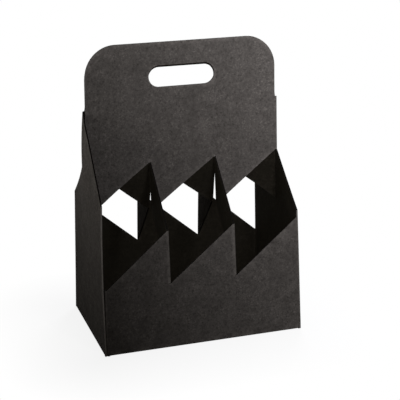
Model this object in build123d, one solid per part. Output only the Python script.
from build123d import *
import math
import os

# A six-bottle carrier folded from one die-cut sheet of microflute card.
# The front of the carrier faces -Y, it stands on Z = 0, and the origin is under its middle.
# Every panel is board of one thickness, and every fold is a true bend of that board.
# The rear half of the sheet is the front half turned by half a turn about Z.

# Driving dimensions, in millimetres
board = 1.5             # thickness of the microflute card
fold_inside = 0.6       # inside radius of a creased fold
columns = 3             # bottles in a row
pitch = 67.0            # bottle spacing along the row and across the two rows
valley = 66.0           # foot of every tooth on a long side, above the table
rise = 52.0             # climb of each tooth, each strap and each step under the handle
lip = 7.0               # low corner of an end wall above the last tooth
tip_rise = 54.0         # fold between an end wall and a handle ply, from the step to the tip
shoulder_drop = 76.0    # high corner of an end wall below its tip
handle_rise = 62.0      # top edge of the handle above the end walls' tips
handle_round = 30.5     # radius of the handle's top corners
handle_inset = 3.0      # free side edge of a handle ply behind the end wall's outer face
notch = 4.5             # height of the slanted nick between the end wall's tip and the free edge
slot_length = 69.2      # finger slot, end to end
slot_height = 21.0      # finger slot, top to bottom
slot_drop = 33.0        # middle of the finger slot below the handle's top edge
ply_gap = 0.5           # air between the two handle plies
strap_shift = 0.45      # straps of a row stand this far from the shared pitch lines
glue_flap = 20.0        # width of the glue flap at the front left corner
glue_root = 1.5         # full-height strip of the glue flap beside its fold
glue_taper = 5.0        # slope of the glue flap's ends
glue_clearance = 3.0    # glue flap ends clear of the flap below and the edge above
cut_edge_back = 0.3     # cut edges beside a corner fold stop this far short of the outer face
corner_slot = 1.2       # slot between two bottom flaps at a corner
foot_gap = 0.2          # corner folds end this far above the table
flap_edge_gap = 0.4     # free ends of the long bottom flaps behind the end walls' outer faces
end_flap = 52.0         # reach of an end bottom flap under the bottles
end_flap_taper = 20.0   # each side of an end flap narrows by this much
end_flap_round = 5.0    # radius of an end flap's free corners
lock_reach = 9.0        # long bottom flaps pass the middle line by this much where they lock
lock_run = 12.0         # half the slant of the lock between the two long bottom flaps
lock_gap = 0.8          # gap along the lock

# Places that follow from the sizes above
right = columns * pitch / 2
left = -right
back = pitch
front = -back
peak = valley + rise
step_top = peak + rise
low_corner = peak + lip
tip = step_top + tip_rise
shoulder = tip - shoulder_drop
handle_top = tip + handle_rise
bend = fold_inside + board / 2
bend_out = fold_inside + board
wall_x = right - board / 2
wall_y = front + board / 2
ply_y = -(ply_gap + board) / 2
ply_fold_x = wall_x - bend
lap_x = left + 1.5 * board
front_start = lap_x + bend
slot_x_left = front_start + corner_slot
slot_x_right = right - bend_out - corner_slot
end_flap_bottom = board
end_fold_top = end_flap_bottom + bend_out
strap_lines = [left + (column + 1) * pitch + strap_shift for column in range(columns - 1)]


def slab_across(section, y_from, y_to):
    """Slab with its section drawn in X and Z, between two depths."""
    plane = Plane(origin=(0, y_to, 0), x_dir=(1, 0, 0), z_dir=(0, -1, 0))
    return extrude(plane * section, amount=y_to - y_from)


def slab_along(section, x_from, x_to):
    """Slab with its section drawn in Y and Z, between two places along X."""
    plane = Plane(origin=(x_from, 0, 0), x_dir=(0, 1, 0), z_dir=(1, 0, 0))
    return extrude(plane * section, amount=x_to - x_from)


def outline(*points):
    """Flat face inside a closed outline with straight edges."""
    return make_face(Polyline(*points, close=True))


def folded_board(*points):
    """Section of board along a line of points, bent at each inner point."""
    return trace(FilletPolyline(*points, radius=bend), line_width=board)


def standing_board(points, top):
    """Upright board from the table to a height, along a line seen from above."""
    return extrude(folded_board(*points), amount=top)


def long_side_outline():
    """Long side up to its corner fold: a row of teeth that each climb to a strap's fold."""
    points = [(front_start, foot_gap), (front_start, valley)]
    for line in strap_lines:
        points += [(line - bend, peak), (line - bend, valley), (line + board / 2, valley)]
    points += [(right - bend_out, peak), (right - bend_out, foot_gap)]
    points += [(slot_x_right, foot_gap), (slot_x_right, bend_out)]
    points += [(slot_x_left, bend_out), (slot_x_left, foot_gap)]
    return outline(*points)


def end_wall_outline():
    """End wall: a low half beside the front, a tall half that carries the handle ply."""
    front_slot = front + bend_out + corner_slot
    ply_side = ply_y + bend
    return outline(
        (front, foot_gap),
        (front, low_corner),
        (front + bend_out, low_corner),
        (ply_y, step_top),
        (ply_side, step_top),
        (ply_side, tip),
        (back - cut_edge_back, shoulder),
        (back - cut_edge_back, valley),
        (back - bend_out, valley),
        (back - bend_out, foot_gap),
        (back - bend_out - corner_slot, foot_gap),
        (back - bend_out - corner_slot, end_fold_top),
        (front_slot, end_fold_top),
        (front_slot, foot_gap),
    )


def walls():
    """Front long side, corner fold and right end wall, as one bent strip cut to its outline."""
    path = [(front_start, wall_y), (wall_x, wall_y), (wall_x, back - cut_edge_back)]
    long_side = slab_across(long_side_outline(), front, front + bend_out)
    end_wall = slab_along(end_wall_outline(), right - bend_out, right)
    return standing_board(path, tip) & (long_side + end_wall)


def strap(line):
    """Slanted strap from the front side's tooth to the handle ply, folded at both ends."""
    path = [
        (line - 2 * bend, wall_y),
        (line, wall_y),
        (line, ply_y),
        (line + 2 * bend, ply_y),
    ]
    inner_face = -ply_gap / 2
    slant = outline(
        (front, valley),
        (wall_y + bend, valley),
        (ply_y - bend, peak),
        (inner_face, peak),
        (inner_face, step_top),
        (ply_y - bend, step_top),
        (wall_y + bend, peak),
        (front, peak),
    )
    return standing_board(path, step_top) & slab_along(slant, line - bend, line + bend)


def handle_outline():
    """Handle ply with a stepped lower edge, round top corners and a finger slot."""
    left_edge = left + handle_inset
    right_edge = right - handle_inset
    points = [(left_edge, peak)]
    for line in strap_lines:
        points += [(line + bend, step_top), (line + bend, peak)]
    points += [(ply_fold_x, step_top), (ply_fold_x, tip), (right_edge, tip + notch)]
    points += [(right_edge, handle_top), (left_edge, handle_top)]
    ply = outline(*points)
    ply = fillet(ply.vertices().group_by(Axis.Y)[-1], handle_round)
    return ply - Pos(0, handle_top - slot_drop) * SlotOverall(slot_length, slot_height)


def handle_ply():
    """Front handle ply and the fold that joins it to the tall half of the right end wall."""
    plate = slab_across(handle_outline(), ply_y - board / 2, ply_y + board / 2)
    path = [(ply_fold_x - bend, ply_y), (wall_x, ply_y), (wall_x, ply_y + 2 * bend)]
    fold_zone = outline(
        (ply_fold_x, step_top), (right, step_top), (right, tip), (ply_fold_x, tip)
    )
    fold = standing_board(path, tip) & slab_across(fold_zone, ply_y - bend, ply_y + bend)
    return plate + fold


def lock_edge_x(y):
    """Place along X on the slanted lock edge of the front bottom flap."""
    half_gap_along_x = lock_gap / 2 * math.hypot(lock_run, lock_reach) / lock_reach
    return y * lock_run / lock_reach - half_gap_along_x


def long_bottom_flap():
    """Front bottom flap, folded under the long side and locked to the rear one."""
    free_left = left + flap_edge_gap
    free_right = right - flap_edge_gap
    free_front = front + bend_out + corner_slot
    hook_y = lock_reach - lock_gap / 2
    notch_y = -lock_reach - lock_gap / 2
    plan = outline(
        (slot_x_left, front),
        (slot_x_right, front),
        (slot_x_right, free_front),
        (free_right, free_front),
        (free_right, notch_y),
        (lock_edge_x(notch_y), notch_y),
        (lock_edge_x(hook_y), hook_y),
        (free_left, hook_y),
        (free_left, free_front),
        (slot_x_left, free_front),
    )
    section = folded_board((wall_y, 2 * bend_out), (wall_y, board / 2), (back, board / 2))
    plate = slab_along(section, free_left, free_right)
    return plate & extrude(plan, amount=bend_out)


def end_bottom_flap():
    """Right bottom flap, folded in above the long flaps and glued to them."""
    root = back - bend_out - corner_slot
    free_end = right - end_flap
    plan = outline(
        (right, -root),
        (right, root),
        (free_end, root - end_flap_taper),
        (free_end, end_flap_taper - root),
    )
    plan = fillet(plan.vertices().group_by(Axis.X)[0], end_flap_round)
    level = end_flap_bottom + board / 2
    section = folded_board((wall_x, end_fold_top + bend), (wall_x, level), (free_end, level))
    plate = slab_across(section, -root, root)
    return plate & extrude(plan, amount=end_fold_top)


def rear_corner_fold():
    """Fold that joins the right end wall to the rear long side."""
    rear_y = back - board / 2
    path = [(wall_x, rear_y - 2 * bend), (wall_x, rear_y), (-front_start, rear_y)]
    zone = Pos(-front_start, back - bend_out, foot_gap) * Box(
        right + front_start, bend_out, valley - foot_gap, align=(Align.MIN, Align.MIN, Align.MIN)
    )
    return standing_board(path, valley) & zone


def glue_corner():
    """Front left corner: the end wall's cut edge, and the front side's flap glued behind it."""
    edge = Pos(left, front + cut_edge_back, foot_gap) * Box(
        board, bend_out - cut_edge_back, valley - foot_gap, align=(Align.MIN, Align.MIN, Align.MIN)
    )
    path = [(lap_x, front + glue_flap), (lap_x, wall_y), (front_start + bend, wall_y)]
    flap_low = end_fold_top + glue_clearance
    flap_high = valley - glue_clearance
    root_y = wall_y + bend + glue_root
    flap_side = outline(
        (front, foot_gap),
        (front, valley),
        (root_y, valley),
        (root_y, flap_high),
        (front + glue_flap, flap_high - glue_taper),
        (front + glue_flap, flap_low + glue_taper),
        (root_y, flap_low),
        (root_y, foot_gap),
    )
    return edge + (standing_board(path, valley) & slab_along(flap_side, left + board, front_start))


def half_sheet():
    """Everything that the rear half repeats, turned by half a turn."""
    half = walls() + handle_ply() + long_bottom_flap() + end_bottom_flap()
    for line in strap_lines:
        half += strap(line)
    return half


front_half = half_sheet()
rear_half = Rot(0, 0, 180) * front_half
carrier = front_half + rear_half + rear_corner_fold() + glue_corner()

os.makedirs("parts", exist_ok=True)
export_step(carrier, "parts/carrier.step")
